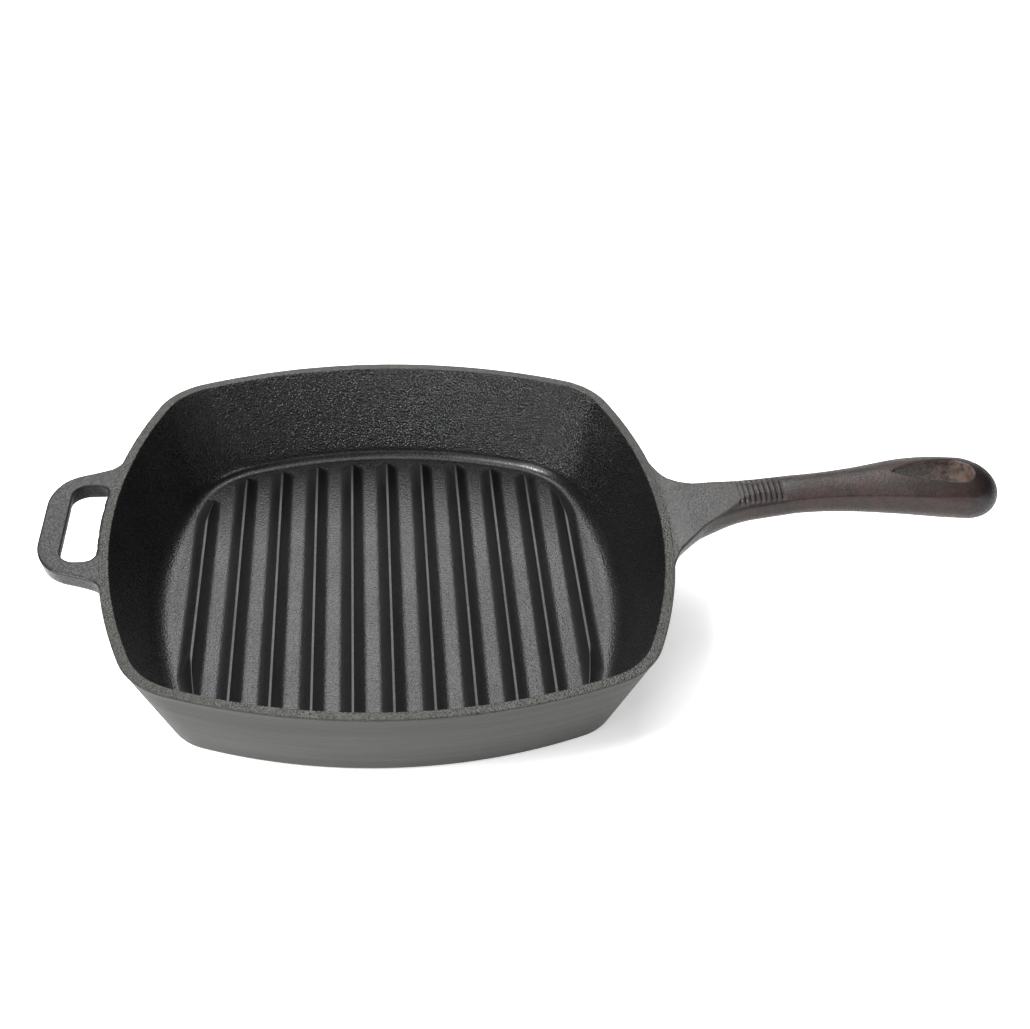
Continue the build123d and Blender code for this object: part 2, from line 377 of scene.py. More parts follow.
def level(ring, z, outside, rim, lip=0, sweep=0):
    rows = np.column_stack([ring, np.zeros(len(ring)) + z])
    return rows, outside, rim, lip, sweep


lean_deg = math.degrees(lean)
base_mid = (outer_half(base_edge_radius) - base_edge_radius / math.cos(lean), base_edge_radius)
lip_mid = (rim_half - rim_outer_round * lip_lean_share, pan_height - rim_outer_round)
edge_mid = (inner_half(pan_height - rim_inner_round) + rim_inner_round / math.cos(lean),
            pan_height - rim_inner_round)
under = outer_ring(base_mid[0], 0.0)
levels = [level(under * share, 0.0, 1, 0) for share in under_shares]
for reach, z in arc(base_mid, base_edge_radius, -90, -lean_deg, base_arc_steps)[1:]:
    levels.append(level(outer_ring(reach, z), z, 1, 0))
wall_heights = np.linspace(wall_margin, pan_height - wall_margin, wall_steps)
for z in [*wall_heights, pan_height - below_lip]:
    levels.append(level(outer_ring(outer_half(z), z), z, 1, 0))
lip_arc = arc(lip_mid, rim_outer_round, -lean_deg, 90, lip_arc_steps)
for share, (reach, z) in zip(np.linspace(0, 1, lip_arc_steps), lip_arc):
    levels.append(level(outer_ring(reach, z), z, 1 - share, share, 1))
for share, lip in rim_rows:
    reach = blend(lip_mid[0], edge_mid[0], share)
    levels.append(level(outer_ring(reach, pan_height), pan_height, 0, 1, lip))
edge_arc = arc(edge_mid, rim_inner_round, 90, 180 - lean_deg, edge_arc_steps)
for share, (reach, z) in zip(np.linspace(0, 1, edge_arc_steps), edge_arc):
    levels.append(level(inner_ring(reach, z), z, 0, 1 - share))
print("levels from underside to rim:", len(levels))

# %% [markdown]
# The well is drawn twice, once for each radius of the sweep, with the same number of rows. Then
# every point is a mix of the two, by its bearing from the middle: the sides take the wide sweep
# and the ends the tight one, and the four corners lie between.

# %% Body levels of the well
side_bearing, bearing_span = 50, 32
well_margin, well_steps, sweep_steps = 3.0, 14, 12
floor_insets = (1, 4, 10, 20, 32)
floor_shares = (0.6, 0.3, 0.08)

compass = inner_ring(inner_half(floor_height), floor_height)
bearing = np.degrees(np.arctan2(np.abs(compass[:, 1]), np.abs(compass[:, 0])))
sideways = np.clip((side_bearing - bearing) / bearing_span, 0, 1)
sideways = sideways * sideways * (3 - 2 * sideways)


def well_rows(radius):
    """Half width, height and sweep of each row of the well, for one radius of the sweep."""
    middle = (inner_half(floor_height + radius) - radius / math.cos(lean), floor_height + radius)
    start = floor_height + radius * (1 - math.sin(lean))
    heights = np.linspace(pan_height - well_margin, start, well_steps)[:-1]
    rows = [(inner_half(z), z, 0) for z in heights]
    rows += [(reach, z, 1) for reach, z in arc(middle, radius, -lean_deg, -90, sweep_steps)]
    return rows + [(middle[0] - inset, floor_height, 0) for inset in floor_insets]


for tight, wide in zip(well_rows(end_sweep), well_rows(side_sweep)):
    ring = blend(inner_ring(*tight[:2]), inner_ring(*wide[:2]), sideways[:, None])
    swept = (1 - sideways) * tight[2]
    levels.append(level(ring, blend(tight[1], wide[1], sideways), 0, 0, sweep=swept))
for share in floor_shares:
    levels.append(level(ring * share, floor_height, 0, 0))
print("levels in all:", len(levels))

# %% [markdown]
# Quads bridge each level to the next, and a fan of triangles closes each end. The marks go in
# with the points, so a finish stays where the form changes, whatever the pan's size.

# %% Body mesh


def object_from(name, points, faces):
    """A smooth-shaded mesh object from points in mm."""
    mesh = bpy.data.meshes.new(name)
    mesh.from_pydata([tuple(p) for p in np.asarray(points) * MM], [], [tuple(f) for f in faces])
    mesh.polygons.foreach_set("use_smooth", [True] * len(mesh.polygons))
    mesh.update()
    made = bpy.data.objects.new(name, mesh)
    bpy.context.scene.collection.objects.link(made)
    return made


def mark(made, name, values):
    """A named value from nothing to one on each point of a mesh, for its finish to read."""
    attribute = made.data.attributes.new(name, "FLOAT", "POINT")
    attribute.data.foreach_set("value", np.clip(values, 0, 1))


body_points = np.concatenate([row[0] for row in levels] + [[[0, 0, 0], [0, 0, floor_height]]])
under_pole, floor_pole = len(body_points) - 2, len(body_points) - 1
last = (len(levels) - 1) * ring_points
around = [(step, (step + 1) % ring_points) for step in range(ring_points)]
body_faces = [(low + step, low + after, low + ring_points + after, low + ring_points + step)
              for low in range(0, last, ring_points) for step, after in around]
for step, after in around:
    body_faces += [(under_pole, after, step), (floor_pole, last + step, last + after)]

pan_shell = object_from("pan_shell", body_points, body_faces)
for column, name in enumerate(("outside", "rim", "lip", "sweep"), start=1):
    rows = [np.zeros(ring_points) + row[column] for row in levels]
    mark(pan_shell, name, np.concatenate([*rows, [1 if name == "outside" else 0, 0]]))
print("body:", len(body_faces), "faces")

# %% [markdown]
# The eleven ribs follow one rule: a tent-shaped bar, 18 mm from the next, that ends where the
# floor's own bowed outline does. They could be modelled one by one, but one Geometry Nodes tree
# makes them all, and a new pan size moves them together. The first rib is cut shorter at the
# back, where the photograph shows its end inside the others' line.

# %% Rib sizes
rib_count = 11
rib_foot_half = 5.0
rib_crest_half = 0.65
rib_height = 5.2
rib_sink = 0.4
rib_skirt_half = 9.1
rib_end_run = 6.1
rib_end_inset = 1.6
rib_side_margin = 14.7
rib_outline_bow_share = 0.15
rib_corner_blend, rib_crest_round, rib_foot_round = 26.0, 0.35, 3.0
rib_outline_inset_x, rib_outline_inset_y = 3.0, 3.1
first_back_cut = 12.0
rib_pitch = (rib_field_half - rib_side_margin) * 2 / (rib_count - 1)
outline_half_x = rib_field_half - rib_outline_inset_x
outline_half_y = rib_field_half - rib_outline_inset_y

rib_sizes = {
    "Rib x": 0.0, "Foot half": rib_foot_half, "Crest half": rib_crest_half,
    "Height": rib_height, "Sink": rib_sink, "Floor": floor_height, "End run": rib_end_run,
    "Outline half x": outline_half_x, "Outline half y": outline_half_y,
    "Outline bow": rib_outline_bow_share * (outline_half_x + outline_half_y) / 2,
    "Corner blend": rib_corner_blend, "End inset": rib_end_inset, "Skirt half": rib_skirt_half,
    "Crest round": rib_crest_round, "Foot round": rib_foot_round, "Back cut": 0.0,
}
rib_tree = bpy.data.node_groups.new("rib_maker", "GeometryNodeTree")
rib_tree.is_modifier = True
rib_tree.interface.new_socket("Geometry", in_out="OUTPUT", socket_type="NodeSocketGeometry")
rib_keys = {}
for label, value in rib_sizes.items():
    socket = rib_tree.interface.new_socket(label, in_out="INPUT", socket_type="NodeSocketFloat")
    socket.default_value = value * MM
    rib_keys[label] = socket.identifier
socket = rib_tree.interface.new_socket("Finish", in_out="INPUT", socket_type="NodeSocketMaterial")
rib_keys["Finish"] = socket.identifier
size = rib_tree.nodes.new("NodeGroupInput").outputs
print("rib inputs:", list(rib_keys))

# %% [markdown]
# The tree starts with a flat grid as long as the well. Its columns crowd towards the crest, and
# its rows towards the two ends, where the form turns fastest.

# %% Rib grid
rib_rows, rib_columns = 45, 181
crest_crowding, end_crowding = 1.5, 1.6


def rib_sum(kind, *values):
    return sum_node(rib_tree, kind, *values)


grid = rib_tree.nodes.new("GeometryNodeMeshGrid")
for label, value in (("Size X", 2.0), ("Size Y", 2.0), ("Vertices X", rib_rows),
                     ("Vertices Y", rib_columns)):
    grid.inputs[label].default_value = value
place = rib_tree.nodes.new("GeometryNodeInputPosition")
parts = rib_tree.nodes.new("ShaderNodeSeparateXYZ")
wire(rib_tree, place.outputs[0], parts.inputs[0])
grid_x, grid_y = parts.outputs["X"], parts.outputs["Y"]
crowd = rib_sum("POWER", rib_sum("ABSOLUTE", grid_x), crest_crowding)
offset = rib_sum("MULTIPLY", rib_sum("MULTIPLY", rib_sum("SIGN", grid_x), crowd),
                 size["Skirt half"])
thin = rib_sum("POWER", rib_sum("SUBTRACT", 1.0, rib_sum("ABSOLUTE", grid_y)), end_crowding)
reach = rib_sum("MULTIPLY", rib_sum("SUBTRACT", 1.0, thin),
                rib_sum("ADD", size["Outline half y"], size["Foot round"]))
point_x = rib_sum("ADD", offset, size["Rib x"])
point_y = rib_sum("MULTIPLY", rib_sum("SIGN", grid_y), reach)
print("rib grid:", rib_rows, "by", rib_columns)

# %% [markdown]
# Each point is lifted by the rib's profile. Away is its distance from the crest line, and past the
# line's end from its last point, which gives the round end. The tent falls with that distance. A
# ramp along the bowed outline cuts the outer ribs. Smooth Minimum and Smooth Maximum round the
# crest and let the foot run out softly into the floor.

# %% Rib profile


def squares(first, second):
    """One value squared plus another squared."""
    return rib_sum("MULTIPLY_ADD", first, first, rib_sum("MULTIPLY", second, second))


def arc_radius(half, bow):
    """Radius of a bowed side with this half length and bow."""
    return rib_sum("DIVIDE", squares(rib_sum("SUBTRACT", half, bow), bow),
                   rib_sum("MULTIPLY", bow, 2.0))


def arc_depth(across, along, half, bow):
    """How far a point lies inside a bowed side: radius less its distance from the arc's centre."""
    radius = arc_radius(half, bow)
    behind = rib_sum("SUBTRACT", radius, half)
    out = rib_sum("ADD", rib_sum("ABSOLUTE", across), behind)
    return rib_sum("SUBTRACT", radius, rib_sum("SQRT", squares(out, along)))


def drop_of(radius, across):
    """How far an arc falls from its top at a distance across."""
    under_root = rib_sum("SUBTRACT", rib_sum("MULTIPLY", radius, radius),
                         rib_sum("MULTIPLY", across, across))
    return rib_sum("SUBTRACT", radius, rib_sum("SQRT", under_root))


half_x, half_y, outline_bow = size["Outline half x"], size["Outline half y"], size["Outline bow"]
end_drop = drop_of(arc_radius(half_x, outline_bow), size["Rib x"])
end_y = rib_sum("SUBTRACT", rib_sum("SUBTRACT", half_y, end_drop),
                rib_sum("ADD", size["End inset"], size["Foot half"]))
at_back = rib_sum("MAXIMUM", rib_sum("SIGN", grid_y), 0.0)
end_y = rib_sum("SUBTRACT", end_y, rib_sum("MULTIPLY", at_back, size["Back cut"]))
past = rib_sum("MAXIMUM", rib_sum("SUBTRACT", reach, end_y), 0.0)
away = rib_sum("SQRT", squares(past, offset))
fall = rib_sum("SUBTRACT", size["Foot half"], size["Crest half"])
tent = rib_sum("DIVIDE", rib_sum("MULTIPLY", size["Height"],
                                 rib_sum("SUBTRACT", size["Foot half"], away)), fall)
depth = rib_sum("SMOOTH_MIN", arc_depth(point_x, point_y, half_x, outline_bow),
                arc_depth(point_y, point_x, half_y, outline_bow), size["Corner blend"])
ramp = rib_sum("DIVIDE", rib_sum("MULTIPLY", size["Height"], depth), size["End run"])
shape = rib_sum("SMOOTH_MIN", tent, ramp, size["Crest round"])
shape = rib_sum("SMOOTH_MIN", shape, size["Height"], size["Crest round"])
lift = rib_sum("SMOOTH_MAX", shape, 0.0, size["Foot round"])
print("rib profile:", len(rib_tree.nodes), "nodes")

# %% [markdown]
# Where the form is level with the floor its skin is taken away, and its edge is sunk just below
# the floor. A second, flat sheet closes the rib underneath, so each rib is a solid of its own.

# %% Rib skin
least_lift, weld_distance = 0.01, 0.02

risen = rib_sum("GREATER_THAN", lift, least_lift * MM)
under_z = rib_sum("SUBTRACT", size["Floor"], size["Sink"])
top_z = rib_sum("ADD", under_z, rib_sum("MULTIPLY", risen, rib_sum("ADD", lift, size["Sink"])))
trimmed = rib_tree.nodes.new("GeometryNodeDeleteGeometry")
trimmed.domain = "FACE"
wire(rib_tree, grid.outputs["Mesh"], trimmed.inputs["Geometry"])
wire(rib_tree, rib_sum("SUBTRACT", 1.0, risen), trimmed.inputs["Selection"])


def sheet_at(height):
    """The trimmed grid, with each point sent to its rib place at a height."""
    mover = rib_tree.nodes.new("GeometryNodeSetPosition")
    wire(rib_tree, trimmed.outputs[0], mover.inputs["Geometry"])
    joiner = rib_tree.nodes.new("ShaderNodeCombineXYZ")
    for label, value in (("X", point_x), ("Y", point_y), ("Z", height)):
        wire(rib_tree, value, joiner.inputs[label])
    wire(rib_tree, joiner.outputs[0], mover.inputs["Position"])
    return mover.outputs[0]


turned = rib_tree.nodes.new("GeometryNodeFlipFaces")
wire(rib_tree, sheet_at(under_z), turned.inputs[0])
both_sheets = rib_tree.nodes.new("GeometryNodeJoinGeometry")
wire(rib_tree, turned.outputs[0], both_sheets.inputs[0])
wire(rib_tree, sheet_at(top_z), both_sheets.inputs[0])
rib_skin = both_sheets.outputs[0]
for kind in ("MergeByDistance", "SetShadeSmooth", "RealizeInstances", "SetMaterial"):
    node = rib_tree.nodes.new("GeometryNode" + kind)
    wire(rib_tree, rib_skin, node.inputs["Geometry"])
    rib_skin = node.outputs[0]
    if kind == "MergeByDistance":
        node.inputs["Distance"].default_value = weld_distance * MM
wire(rib_tree, size["Finish"], node.inputs["Material"])
wire(rib_tree, rib_skin, rib_tree.nodes.new("NodeGroupOutput").inputs[0])
print("rib tree:", len(rib_tree.nodes), "nodes")

# %% [markdown]
# One recipe makes every iron finish: nearly black oil-baked metal, a little lighter on the high
# grains, with slow patches of tone, and the skin's height in a Bump node. It is not set metallic,
# because the baked oil is what shows. Each piece calls the recipe with its own sizes, and may
# hand it one function more for what only that piece has.

# %% Iron recipe
oil_ior = 1.5
skin_depth = 0.5
tone_patch, tone_change, tone_span = 35.0, 0.03, (0.35, 0.65)


def mix_color(tree, share, low, high):
    """A colour between two colours, by a share that is a socket; each may be a socket too."""
    node = tree.nodes.new("ShaderNodeMix")
    node.data_type = "RGBA"
    wire(tree, share, node.inputs["Factor"])
    for label, value in (("A", low), ("B", high)):
        socket = [i for i in node.inputs if i.name == label and i.type == "RGBA"][0]
        if isinstance(value, tuple):
            socket.default_value = (*value, 1)
        else:
            wire(tree, value, socket)
    return [o for o in node.outputs if o.type == "RGBA"][0]


def place_group(tree, group, place, label, value):
    """A shared node group at a place, with one of its inputs set."""
    node = tree.nodes.new("ShaderNodeGroup")
    node.node_tree = group
    wire(tree, place, node.inputs["Place"])
    node.inputs[label].default_value = value
    return node.outputs


def attribute_node(tree, name):
    node = tree.nodes.new("ShaderNodeAttribute")
    node.attribute_name = name
    return node.outputs["Fac"]


def along(tree, where, axis, span, low=0.0, high=1.0):
    """A value that runs softly from low to high between two places on an axis, in mm."""
    node = tree.nodes.new("ShaderNodeSeparateXYZ")
    wire(tree, where, node.inputs[0])
    return map_range(tree, node.outputs[axis], span[0] * MM, span[1] * MM, low, high)


def iron_finish(name, grain=1.25, bump=1.0, dark=(0.0008, 0.0008, 0.0009),
                light=(0.0062, 0.0062, 0.0065), rough=(0.24, 0.38), sheen=0.5, extra=None):
    """Oil-baked cast iron; extra may change its colour, roughness and relief where it likes."""
    finish = bpy.data.materials.new(name)
    finish.use_nodes = True
    tree = finish.node_tree
    shader = tree.nodes["Principled BSDF"]
    where = tree.nodes.new("ShaderNodeTexCoord").outputs["Object"]
    skin = place_group(tree, cast_skin, where, "Grain mm", grain)
    drift = place_group(tree, tone_drift, where, "Patch mm", tone_patch)["Drift"]
    color = mix_color(tree, skin["High spots"], dark, light)
    grain_rough = map_range(tree, skin["High spots"], 0.0, 1.0, rough[1], rough[0])
    tone_share = map_range(tree, drift, *tone_span)
    tone_rough = map_range(tree, tone_share, 0.0, 1.0, -tone_change, tone_change)
    roughness = sum_node(tree, "ADD", grain_rough, tone_rough)
    height = skin["Height"]
    if extra:
        color, roughness, height = extra(tree, where, color, roughness, height)
    wire(tree, color, shader.inputs["Base Color"])
    wire(tree, roughness, shader.inputs["Roughness"])
    shader.inputs["IOR"].default_value = oil_ior
    shader.inputs["Specular IOR Level"].default_value = sheen
    relief = tree.nodes.new("ShaderNodeBump")
    relief.inputs["Distance"].default_value = skin_depth * MM
    relief.inputs["Strength"].default_value = bump
    wire(tree, height, relief.inputs["Height"])
    wire(tree, relief.outputs["Normal"], shader.inputs["Normal"])
    return finish


print("skin relief:", skin_depth, "mm")

# %% [markdown]
# The outside of the body was rubbed smoother than the inside and has gone a warm grey, with
# painted shade that darkens it under the rim. The rim is light and its outer edge is knocked and
# pitted. The floor and its sweep are worn smoother than the walls. All of it follows the marks on
# the mesh and the height above the table, so it stays where the form changes.

# %% Finish for the body
outside_gray = (0.021, 0.0205, 0.0175)
# Painted shade: the outer wall's colour darkens towards the rim
under_rim_shade_gray = (0.009, 0.0088, 0.0075)
rim_gray = (0.022, 0.021, 0.0150)
# Black for casting pits and the grooves' seasoning, and also painted shade on the helper's slot
# walls
pit_and_shade_black = (0.001, 0.001, 0.001)
rubbed_bands = (12, 12, 260)
rubbed_rough = (0.57, 0.64)
under_rim_shade_z = (22.0, 46.0)
worn_floor_z = (5.5, 13.0)
floor_relief, smooth_relief, rim_calm = 0.35, 0.18, 0.72
rim_gray_share, rim_matte = 0.6, 0.03
pit_spacing, pit_relief = 1.6, 1.5
band_span, lip_span, calm_span = (0.3, 0.7), (0.35, 0.9), (0.4, 1.0)


def outside_and_rim(tree, where, color, roughness, height):
    outside, rim, lip, sweep = (
        attribute_node(tree, name) for name in ("outside", "rim", "lip", "sweep"))
    bands = tree.nodes.new("ShaderNodeMapping")
    bands.inputs["Scale"].default_value = rubbed_bands
    wire(tree, where, bands.inputs["Vector"])
    band = noise_node(tree, bands.outputs[0], scale=1.0, detail=3.0)
    outside_rough = sum_node(tree, "MULTIPLY", outside,
                             map_range(tree, band, *band_span, *rubbed_rough))
    inside_rough = sum_node(tree, "MULTIPLY", sum_node(tree, "SUBTRACT", 1.0, outside), roughness)
    roughness = sum_node(tree, "ADD", outside_rough, sum_node(
        tree, "MULTIPLY_ADD", rim, rim_matte, inside_rough))
    # Painted shade darkens the outer wall's colour towards the rim
    under_rim_shade = along(tree, where, "Z", under_rim_shade_z)
    color = mix_color(tree, outside, color,
                      mix_color(tree, under_rim_shade, outside_gray, under_rim_shade_gray))
    color = mix_color(tree, sum_node(tree, "MULTIPLY", rim, rim_gray_share), color, rim_gray)
    pits = place_group(tree, casting_pits, where, "Spacing mm", pit_spacing)["Pits"]
    pit = sum_node(tree, "MULTIPLY", pits, map_range(tree, lip, *lip_span))
    color = mix_color(tree, pit, color, pit_and_shade_black)
    calm = sum_node(tree, "MAXIMUM", sum_node(tree, "MAXIMUM", outside, sweep),
                    sum_node(tree, "MULTIPLY", rim, rim_calm))
    above_floor = along(tree, where, "Z", worn_floor_z, floor_relief, 1.0)
    height = sum_node(tree, "MULTIPLY", sum_node(tree, "MULTIPLY", height, above_floor),
                      map_range(tree, calm, *calm_span, 1.0, smooth_relief))
    return color, roughness, sum_node(
        tree, "SUBTRACT", height, sum_node(tree, "MULTIPLY", pit, pit_relief))


body_iron = iron_finish("body_iron", grain=0.85, bump=1.5, extra=outside_and_rim)
pan_shell.data.materials.append(body_iron)
print("body finish:", len(body_iron.node_tree.nodes), "nodes")

# %% [markdown]
# The ribs share the body's iron, but a scraper keeps their flanks smooth, and painted shade
# makes them dark, so the finish changes with the height above the table. Then the tree is run
# once for each rib. Its result is kept as a plain mesh, because a finished piece has to stand
# without its modifier.

# %% Finish and make the ribs
# Painted shade: the colour that the ribs' flanks are darkened to
flank_painted_shade = (0.0005, 0.0005, 0.0006)
flank_z = (5.5, 7.5)
valley_relief, flank_relief = 0.42, 0.12


def smooth_flanks_painted_shade(tree, where, color, roughness, height):
    flank = along(tree, where, "Z", flank_z)
    calm = map_range(tree, flank, 0.0, 1.0, valley_relief, flank_relief)
    # Painted shade: the flanks' colour turns near black above the valley floor
    color = mix_color(tree, flank, color, flank_painted_shade)
    return color, roughness, sum_node(tree, "MULTIPLY", height, calm)


rib_iron = iron_finish("rib_iron", grain=0.85, rough=(0.33, 0.45), extra=smooth_flanks_painted_shade)
ribs = []
for number in range(rib_count):
    name = f"rib_{number + 1:02d}"
    blank = bpy.data.objects.new(name + "_blank", bpy.data.meshes.new(name + "_blank"))
    bpy.context.scene.collection.objects.link(blank)
    maker = blank.modifiers.new("rib_maker", "NODES")
    maker.node_group = rib_tree
    for label, value in rib_sizes.items():
        maker[rib_keys[label]] = value * MM
    maker[rib_keys["Rib x"]] = (number - (rib_count - 1) / 2) * rib_pitch * MM
    maker[rib_keys["Back cut"]] = first_back_cut * MM if number == 0 else 0.0
    maker[rib_keys["Finish"]] = rib_iron
    made = bpy.data.meshes.new_from_object(
        blank.evaluated_get(bpy.context.evaluated_depsgraph_get()))
    made.name = name
    bpy.data.objects.remove(blank)
    rib = bpy.data.objects.new(name, made)
    bpy.context.scene.collection.objects.link(rib)
    ribs.append(rib)
middle_rib = ribs[rib_count // 2]
print("ribs:", len(ribs), "with", len(middle_rib.data.polygons), "faces in the middle one")

# %% [markdown]
# The two handles are soft cast forms: a flat root that turns into a round grip, and a loop that
# flows into the rim. Such forms are awkward to patch together from surfaces. Here each is a field
# instead: a function that gives, for any point, about how far it lies outside the form. Forms
# join, cut and blend by plain arithmetic on their fields.

# %% Fields: joining and cutting


def join_soft(first, second, width):
    """The nearer of two fields, blended over a width, which adds a fillet."""
    near = np.maximum(width - np.abs(first - second), 0) / width
    return np.minimum(first, second) - near * near * width / 4


def cut_soft(first, second, width):
    """What lies in both, with a rounded edge of about a width."""
    return -join_soft(-first, -second, width)


def wall_field(x, y, z):
    """Distance outside the pan's outer wall, near the middle of a side."""
    half = outer_half(z)
    bow = blend(base_bow_share, rim_bow_share, z / pan_height) * half
    side_radius = ((half - bow) ** 2 + bow ** 2) / (2 * bow)
    behind = side_radius - half
    return (np.sqrt((np.abs(x) + behind) ** 2 + y ** 2) - side_radius) * math.cos(lean)


print("10 mm outside the rim reads", round(float(wall_field(rim_half + 10, 0, pan_height)), 2))

# %% [markdown]
# The skin is drawn where the field is nothing. The method is called surface nets: one point for
# each small cell that the skin passes through, and one quad for each grid edge that it cuts.
# Afterwards each point is moved along the field's slope until it lies on the skin.

# %% Fields: drawing the skin
least_slope, longest_step = 0.05, 0.3


def skin_of(field, lows, highs, steps):
    """Points and quads of the surface where field(x, y, z) is nothing, all in mm."""
    axes = [np.arange(low, high + step, step) for low, high, step in zip(lows, highs, steps)]
    value = field(*np.meshgrid(*axes, indexing="ij", sparse=True)).astype(np.float32)
    shape = np.array(value.shape)
    total = np.zeros((*(shape - 1), 3), np.float32)
    count = np.zeros(shape - 1, np.int32)
    crossings = []
    for axis in range(3):
        near = [slice(None)] * 3
        far = [slice(None)] * 3
        near[axis], far[axis] = slice(0, -1), slice(1, None)
        start, end = value[tuple(near)], value[tuple(far)]
        cut = np.argwhere((start < 0) != (end < 0))
        begin = start[tuple(cut.T)]
        finish = end[tuple(cut.T)]
        point = cut.astype(np.float32)
        point[:, axis] += begin / (begin - finish)
        sides = [a for a in range(3) if a != axis]
        inside = np.all((cut[:, sides] > 0) & (cut[:, sides] < shape[sides] - 1), axis=1)
        for first, second in ((0, 0), (0, 1), (1, 0), (1, 1)):
            cell = cut.copy()
            cell[:, sides[0]] -= first
            cell[:, sides[1]] -= second
            fits = np.all((cell >= 0) & (cell < shape - 1), axis=1)
            np.add.at(total, tuple(cell[fits].T), point[fits])
            np.add.at(count, tuple(cell[fits].T), 1)
        crossings.append((cut[inside], (begin < 0)[inside], sides))
    number = np.full(count.shape, -1)
    used = count > 0
    number[used] = np.arange(used.sum())
    points = total[used] / count[used][:, None] * np.array(steps) + np.array(lows)
    quads = []
    for axis, (cut, solid_first, sides) in enumerate(crossings):
        ring = []
        for first, second in ((0, 0), (1, 0), (1, 1), (0, 1)):
            cell = cut.copy()
            cell[:, sides[0]] -= first
            cell[:, sides[1]] -= second
            ring.append(number[tuple(cell.T)])
        quad = np.stack(ring, axis=1)
        turn = solid_first if axis != 1 else ~solid_first
        quad[~turn] = quad[~turn][:, ::-1]
        quads.append(quad)
    return points, np.concatenate(quads)


def settle(field, points, rounds=3, reach=0.05):
    """Points moved along the field's slope until they lie on the skin."""
    for _ in range(rounds):
        x, y, z = points.T
        here = field(x, y, z)
        slope = np.stack([field(x + reach, y, z) - field(x - reach, y, z),
                          field(x, y + reach, z) - field(x, y - reach, z),
                          field(x, y, z + reach) - field(x, y, z - reach)], axis=1) / (2 * reach)
        step = here / np.maximum((slope ** 2).sum(axis=1), least_slope)
        step = np.clip(step, -longest_step, longest_step)
        points = points - slope * step[:, None]
    return points


print("a skin point moves", longest_step, "mm at most in one step")

# %% [markdown]
# A cast handle changes its width, depth and height all along, without a kink. Each of these is a
# track: a few (x, value) stations read off the photograph, softened by a bell-shaped average.
# The root narrows while it rises, and the grip is slim at its neck and fat at its end.

# %% Long handle tracks
track_step = 0.5


def track(stations, spread=3.0):
    """A smooth value along x through (x, value) pairs."""
    known_x, known = np.array(stations, float).T
    fine_x = np.arange(known_x[0] - 5 * spread, known_x[-1] + 5 * spread, track_step)
    first_slope = (known[1] - known[0]) / (known_x[1] - known_x[0])
    last_slope = (known[-1] - known[-2]) / (known_x[-1] - known_x[-2])
    fine = np.interp(fine_x, known_x, known)
    fine = np.where(fine_x < known_x[0], known[0] + (fine_x - known_x[0]) * first_slope, fine)
    fine = np.where(fine_x > known_x[-1], known[-1] + (fine_x - known_x[-1]) * last_slope, fine)
    reach = np.arange(-4 * spread, 4 * spread + track_step, track_step)
    weight = np.exp(-(reach / spread) ** 2 / 2)
    weight /= weight.sum()
    soft = np.convolve(fine, weight, mode="same")
    ends = len(reach)
    soft[:ends], soft[-ends:] = fine[:ends], fine[-ends:]
    return lambda x: np.interp(x, fine_x, soft)


grip_middle = track([(120, 43.2), (150, 51.2), (160, 53.9), (168, 55.4), (176, 56.5), (182, 57.3),
                     (190, 58.5), (199, 59.3), (212, 60.2), (221, 60.8), (230, 61.4), (238, 61.9),
                     (244, 62.2), (254, 62.0), (264, 61.7), (273, 61.3), (283, 60.6), (292, 59.4)])
grip_half_width = track([(120, 15.2), (140, 15.0), (148, 14.5), (154, 13.7), (160, 12.4),
                         (168, 11.0), (176, 10.6), (186, 10.2), (195, 9.8), (205, 10.0),
                         (212, 10.5), (221, 11.4), (230, 12.8), (238, 14.2), (244, 15.1),
                         (254, 16.3), (264, 17.2), (274, 17.5), (292, 17.5)])
grip_half_depth = track([(120, 7.0), (150, 7.4), (168, 7.2), (182, 7.1), (199, 7.4), (212, 7.9),
                         (230, 8.8), (244, 9.6), (254, 10.0), (264, 10.3), (273, 10.4),
                         (292, 10.2)])
root_half_width = track([(118, 52), (123, 45), (130, 34.8), (134, 28.2), (140, 22.0), (148, 15.6),
                         (154, 11.8), (160, 8.4), (166, 5.4), (172, 3.2), (182, 2.0)], 1.5)
root_top = track([(118, 50), (131, 50), (134, 50.2), (140, 51.7), (148, 55.0), (157, 58.6),
                  (164, 60.6), (172, 61.6), (182, 61.8)], 1.5)
root_depth = track([(118, 13.2), (131, 13.0), (138, 13.2), (148, 13.9), (157, 14.6),
                    (166, 14.4), (176, 12.6), (182, 10.5)])
root_edge = track([(118, 2.0), (131, 2.0), (138, 2.8), (148, 4.6), (157, 6.4), (166, 7.2),
                   (176, 7.0), (182, 7.0)])
top_limit = track([(118, 50), (131, 50), (134, 50.2), (140, 51.7), (148, 55.0), (157, 58.6),
                   (165, 62.0), (173, 65.5), (180, 72), (200, 90)], 1.5)
neck_width = 2 * grip_half_width(np.arange(150, 280)).min()
print("the grip is", round(float(neck_width), 1), "mm wide at its neck")

# %% [markdown]
# The grip is a bar with a domed top, which meets its side in a shoulder, and a round belly. The
# shoulder is crisp along the grip and melts away round the far end. The root is a slab with a
# flat top, flush with the rim, and a belly like a bowl.

# %% Long handle: grip and root
handle_tip = rim_half + 158.9
dome_share, dome_slope, belly_share = 0.42, 0.93, 0.95
end_round, end_reach = 17.5, 17.6
end_middle_x = handle_tip - end_reach
shoulder_round, end_shoulder_round = 1.3, 6.0
shoulder_fades_x, shoulder_fade = 255, 25
root_side_slope, root_belly_slope, root_deep = 0.80, 0.7, -6.0
root_side_edge, root_other_edges, root_end_x = 1.4, 2.0, 180.0


def shoulder_height(x):
    """Where the domed top meets the side, which is also where the mould's halves met."""
    return grip_middle(x) + (1 - dome_share) * grip_half_depth(x)


